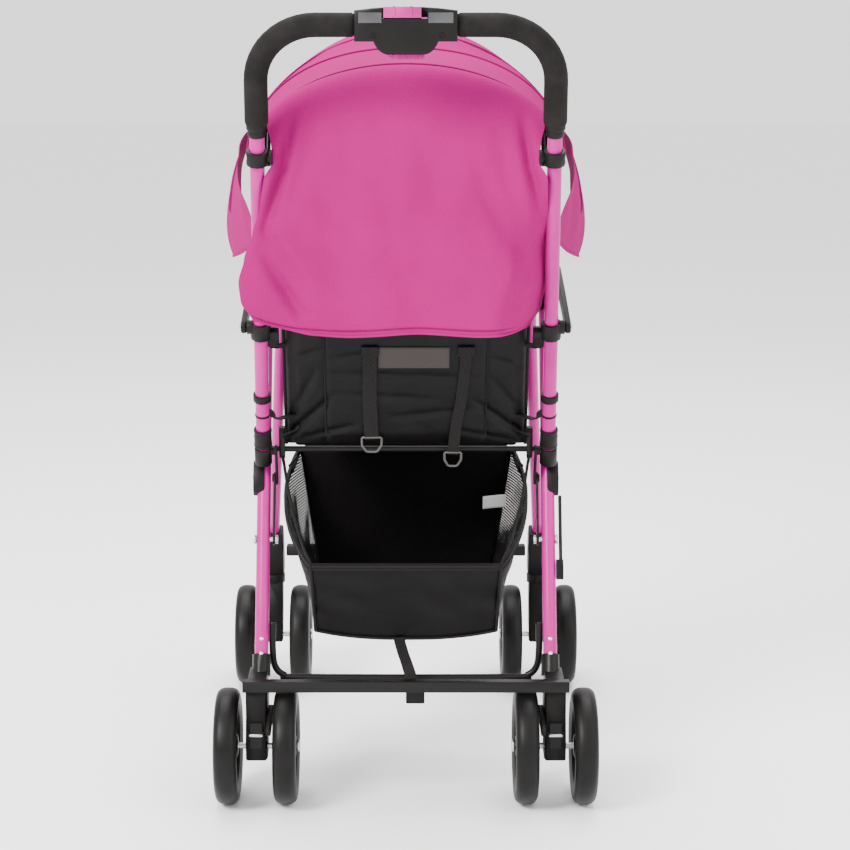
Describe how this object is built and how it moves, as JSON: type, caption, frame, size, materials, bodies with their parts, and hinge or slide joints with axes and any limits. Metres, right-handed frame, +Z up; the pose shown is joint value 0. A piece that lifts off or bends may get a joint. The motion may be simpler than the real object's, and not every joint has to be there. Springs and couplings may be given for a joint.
{
  "type": "baby stroller",
  "caption": "Lightweight folding baby stroller with a U-shaped foam-grip handle, pink canopy with rear flap, reclining seat, under-seat basket and twin swivel wheels.",
  "frame": {"origin": "on the floor below the centre of the overall box", "axes": "+Z up, +Y the driving direction, +X the right-hand side seen from behind"},
  "size_m": [0.518, 0.7622, 1.013],
  "materials": {
    "pink_paint": "satin powder coat",
    "black_plastic": "fine moulded grain",
    "grip_foam": "closed-cell foam",
    "pink_plastic": "smooth",
    "bright_steel": "bright zinc",
    "black_steel": "semi-gloss black",
    "pink_fabric": "plain-weave polyester",
    "black_fabric": "plain-weave polyester",
    "wheel_rubber": "foamed rubber tread"
  },
  "bodies": {
    "rear_frame": {"rear_leg_left": "pink_paint", "rear_leg_right": "pink_paint", "leg_hub_left": "black_plastic", "leg_hub_right": "black_plastic", "link_bolt_left": "bright_steel", "link_bolt_right": "bright_steel", "leg_clamp_left": "black_plastic", "leg_clamp_right": "black_plastic", "rear_wheel_housing_left": "black_plastic", "rear_wheel_housing_right": "black_plastic", "rear_axle_left": "bright_steel", "rear_axle_right": "bright_steel", "rear_crossbar": "black_steel", "brace_hoop": "black_steel", "seat_rod": "black_steel", "seat_cushion": "black_fabric", "basket": "black_fabric"},
    "fold_links": {"fold_link_left": "black_steel", "fold_link_right": "black_steel"},
    "handle": {"handle_tube": "pink_paint", "handle_foot_left": "black_plastic", "handle_foot_right": "black_plastic", "armrest_saddle_left": "black_plastic", "armrest_saddle_right": "black_plastic", "canopy_clip_left": "black_plastic", "canopy_clip_right": "black_plastic", "handle_grip_left": "grip_foam", "handle_grip_right": "grip_foam", "handle_housing": "black_plastic", "canopy_rear_bow": "black_steel", "canopy_cloth": "pink_fabric"},
    "lock_collars": {"lock_collar_left": "black_plastic", "lock_collar_right": "black_plastic"},
    "trigger": {"squeeze_trigger": "pink_plastic"},
    "slider": {"safety_slider": "pink_plastic"},
    "armrests": {"armrest_left": "black_plastic", "armrest_right": "black_plastic"},
    "canopy_mid": {"canopy_mid_bow": "black_steel"},
    "canopy_front": {"canopy_front_bow": "black_steel"},
    "seat_backrest": {"seat_back": "black_fabric"},
    "latch": {"storage_latch": "black_plastic"},
    "front_frame": {"front_leg_left": "pink_paint", "front_leg_right": "pink_paint", "front_wheel_housing_left": "black_plastic", "front_wheel_housing_right": "black_plastic", "footrest": "black_plastic"},
    "brake_left": {"brake_lever_left": "black_plastic"},
    "rear_inner_wheel_left": {"rear_wheel_inner_left": "wheel_rubber"},
    "rear_outer_wheel_left": {"rear_wheel_outer_left": "wheel_rubber"},
    "caster_left": {"caster_fork_left": "black_plastic", "front_axle_left": "bright_steel"},
    "front_inner_wheel_left": {"front_wheel_inner_left": "wheel_rubber"},
    "front_outer_wheel_left": {"front_wheel_outer_left": "wheel_rubber"},
    "brake_right": {"brake_lever_right": "black_plastic"},
    "rear_inner_wheel_right": {"rear_wheel_inner_right": "wheel_rubber"},
    "rear_outer_wheel_right": {"rear_wheel_outer_right": "wheel_rubber"},
    "caster_right": {"caster_fork_right": "black_plastic", "front_axle_right": "bright_steel"},
    "front_inner_wheel_right": {"front_wheel_inner_right": "wheel_rubber"},
    "front_outer_wheel_right": {"front_wheel_outer_right": "wheel_rubber"}
  },
  "joints": [
    {"name": "fold", "type": "hinge", "parent": "rear_frame", "child": "fold_links", "pos_m": [0, -0.1272, 0.324], "axis": [1, 0, 0], "range_deg": [0, 158]},
    {"name": "handle_fold", "type": "hinge", "parent": "fold_links", "child": "handle", "pos_m": [0, -0.0952, 0.4], "axis": [1, 0, 0], "range_deg": [-201.62, 0]},
    {"name": "armrest_fold", "type": "hinge", "parent": "handle", "child": "armrests", "pos_m": [0, -0.1908, 0.6147], "axis": [1, 0, 0], "range_deg": [0, 86.92]},
    {"name": "front_leg_fold", "type": "hinge", "parent": "rear_frame", "child": "front_frame", "pos_m": [0, 0.013, 0.657], "axis": [1, 0, 0], "range_deg": [-33.02, 0]},
    {"name": "seat_recline", "type": "hinge", "parent": "rear_frame", "child": "seat_backrest", "pos_m": [0, -0.082, 0.437], "axis": [1, 0, 0], "range_deg": [-20, 0]},
    {"name": "canopy_fold", "type": "hinge", "parent": "canopy_mid", "child": "canopy_front", "pos_m": [0, -0.262, 0.83], "axis": [1, 0, 0], "range_deg": [0, 7], "deforming": ["canopy_cloth"]},
    {"name": "canopy_mid_fold", "type": "hinge", "parent": "handle", "child": "canopy_mid", "pos_m": [0, -0.262, 0.83], "axis": [1, 0, 0], "range_deg": [0, 17.51]},
    {"name": "trigger_squeeze", "type": "slide", "parent": "handle", "child": "trigger", "axis": [0, 0, 1], "range_m": [0, 0.007], "stiffness_N_per_m": 400, "springref_m": -0.004},
    {"name": "lock_collars_lift", "type": "slide", "parent": "handle", "child": "lock_collars", "axis": [0, -0.407, 0.9134], "range_m": [0, 0.01001]},
    {"name": "safety_slide", "type": "slide", "parent": "handle", "child": "slider", "axis": [1, 0, 0], "range_m": [0, 0.006]},
    {"name": "storage_latch_swing", "type": "hinge", "parent": "rear_frame", "child": "latch", "pos_m": [0.202, -0.14276, 0.287], "axis": [1, 0, 0], "range_deg": [0, 30]},
    {"name": "brake_press_left", "type": "hinge", "parent": "rear_frame", "child": "brake_left", "pos_m": [-0.1746, -0.218, 0.118], "axis": [1, 0, 0], "range_deg": [0, 16]},
    {"name": "rear_inner_spin_left", "type": "hinge", "parent": "rear_frame", "child": "rear_inner_wheel_left", "pos_m": [-0.1545, -0.232, 0.075], "axis": [1, 0, 0], "continuous": true},
    {"name": "rear_outer_spin_left", "type": "hinge", "parent": "rear_frame", "child": "rear_outer_wheel_left", "pos_m": [-0.2295, -0.232, 0.075], "axis": [1, 0, 0], "continuous": true},
    {"name": "caster_swivel_left", "type": "hinge", "parent": "front_frame", "child": "caster_left", "pos_m": [-0.201, 0.328, 0.16], "axis": [0, 0, 1], "continuous": true},
    {"name": "front_inner_spin_left", "type": "hinge", "parent": "caster_left", "child": "front_inner_wheel_left", "pos_m": [-0.16, 0.305, 0.075], "axis": [1, 0, 0], "continuous": true},
    {"name": "front_outer_spin_left", "type": "hinge", "parent": "caster_left", "child": "front_outer_wheel_left", "pos_m": [-0.242, 0.305, 0.075], "axis": [1, 0, 0], "continuous": true},
    {"name": "brake_press_right", "type": "hinge", "parent": "rear_frame", "child": "brake_right", "pos_m": [0.1746, -0.218, 0.118], "axis": [1, 0, 0], "range_deg": [0, 16]},
    {"name": "rear_inner_spin_right", "type": "hinge", "parent": "rear_frame", "child": "rear_inner_wheel_right", "pos_m": [0.1545, -0.232, 0.075], "axis": [1, 0, 0], "continuous": true},
    {"name": "rear_outer_spin_right", "type": "hinge", "parent": "rear_frame", "child": "rear_outer_wheel_right", "pos_m": [0.2295, -0.232, 0.075], "axis": [1, 0, 0], "continuous": true},
    {"name": "caster_swivel_right", "type": "hinge", "parent": "front_frame", "child": "caster_right", "pos_m": [0.201, 0.328, 0.16], "axis": [0, 0, 1], "continuous": true},
    {"name": "front_inner_spin_right", "type": "hinge", "parent": "caster_right", "child": "front_inner_wheel_right", "pos_m": [0.16, 0.305, 0.075], "axis": [1, 0, 0], "continuous": true},
    {"name": "front_outer_spin_right", "type": "hinge", "parent": "caster_right", "child": "front_outer_wheel_right", "pos_m": [0.242, 0.305, 0.075], "axis": [1, 0, 0], "continuous": true}
  ],
  "couplings": [
    {"joint": "handle_fold", "follows": "fold", "ratio": -1.2759},
    {"joint": "armrest_fold", "follows": "fold", "ratio": 0.55},
    {"joint": "front_leg_fold", "follows": "fold", "ratio": -0.20886},
    {"joint": "canopy_mid_fold", "follows": "canopy_fold", "ratio": 2.5},
    {"joint": "lock_collars_lift", "follows": "trigger_squeeze", "ratio": 1.4286}
  ]
}
